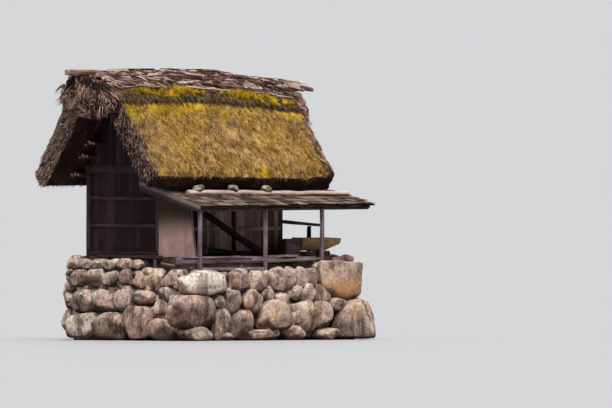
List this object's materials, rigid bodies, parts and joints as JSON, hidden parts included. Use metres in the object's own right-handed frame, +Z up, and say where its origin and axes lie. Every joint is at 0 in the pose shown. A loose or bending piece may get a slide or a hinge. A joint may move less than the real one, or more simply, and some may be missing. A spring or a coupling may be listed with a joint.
{
  "type": "thatched mill hut on a boulder plinth",
  "caption": "Small thatched mill hut with board walls, a shingled lean-to on posts and a log trough, standing on a dry-laid boulder plinth.",
  "frame": {"origin": "on the flat underside of the plinth, straight under the outer corner of the front left corner post", "axes": "+X along the ridge, to the right as seen from the pond; +Y away from the pond; +Z up"},
  "size_m": [8.7161, 5.4427, 6.7878],
  "materials": {
    "boulders": "rough river boulders, grey to purple-brown, some with orange stain and pale lichen",
    "dark_timber": "smoke-dark weathered timber",
    "wall_boards": "upright brown-grey boards",
    "gable_boards": "upright dark boards, matt",
    "roof_poles": "round poles lashed under the thatch",
    "thatch": "golden-brown straw thatch with yellow-green moss",
    "bark": "layers of weathered bark and straw",
    "ridge_poles": "bleached bark-covered poles",
    "shingles": "split shingles, grey, with green moss along the edges",
    "barge_paint": "blue-violet dark weathered board",
    "pale_pole": "peeled pinkish-grey pole",
    "grey_timber": "silver-grey weathered timber",
    "charred_log": "nearly black round log",
    "plaster": "earth plaster, matt, slightly stained",
    "fresh_wood": "orange-brown pole",
    "mossy_wood": "hollowed log covered with moss"
  },
  "bodies": {
    "root": {"barge_board": "barge_paint", "diagonal_brace": "charred_log", "door_frame": "dark_timber", "edge_pole": "grey_timber", "flume_pole": "charred_log", "flume_post": "charred_log", "front_boards_a": "wall_boards", "front_boards_b": "wall_boards", "front_wall_frame": "dark_timber", "gable_bundle_left": "bark", "gable_bundle_right": "bark", "gable_log": "grey_timber", "lean_to_frame": "dark_timber", "lean_to_post_1": "grey_timber", "lean_to_post_2": "grey_timber", "lean_to_post_3": "grey_timber", "lean_to_roof": "shingles", "left_boards": "gable_boards", "left_gable_boards": "gable_boards", "left_rail_lower": "dark_timber", "left_rail_upper": "dark_timber", "loose_log": "charred_log", "lower_bearer": "grey_timber", "panel_edge": "fresh_wood", "plaster_panel": "plaster", "rear_boards_a": "wall_boards", "rear_boards_b": "wall_boards", "rear_wall_frame": "dark_timber", "ridge_beam": "roof_poles", "ridge_cap": "bark", "ridge_pole_front": "ridge_poles", "ridge_pole_low": "ridge_poles", "ridge_pole_rear": "ridge_poles", "ridge_pole_top": "ridge_poles", "right_boards_front": "gable_boards", "right_boards_over": "gable_boards", "right_boards_rear": "gable_boards", "right_gable_boards": "gable_boards", "roof_frame_front": "roof_poles", "roof_frame_rear": "roof_poles", "roof_stone_1": "boulders", "roof_stone_2": "boulders", "roof_stone_3": "boulders", "side_pole": "grey_timber", "sill_frame": "dark_timber", "sill_log_left": "grey_timber", "sill_log_right": "grey_timber", "stone_plinth": "boulders", "stub_post": "grey_timber", "thatch_front": "thatch", "thatch_rear": "thatch", "tie_beam_left": "dark_timber", "tie_beam_right": "dark_timber", "trough": "mossy_wood", "trough_bearer_1": "grey_timber", "trough_bearer_2": "grey_timber", "trough_block": "grey_timber", "weight_pole": "pale_pole"}
  },
  "joints": []
}
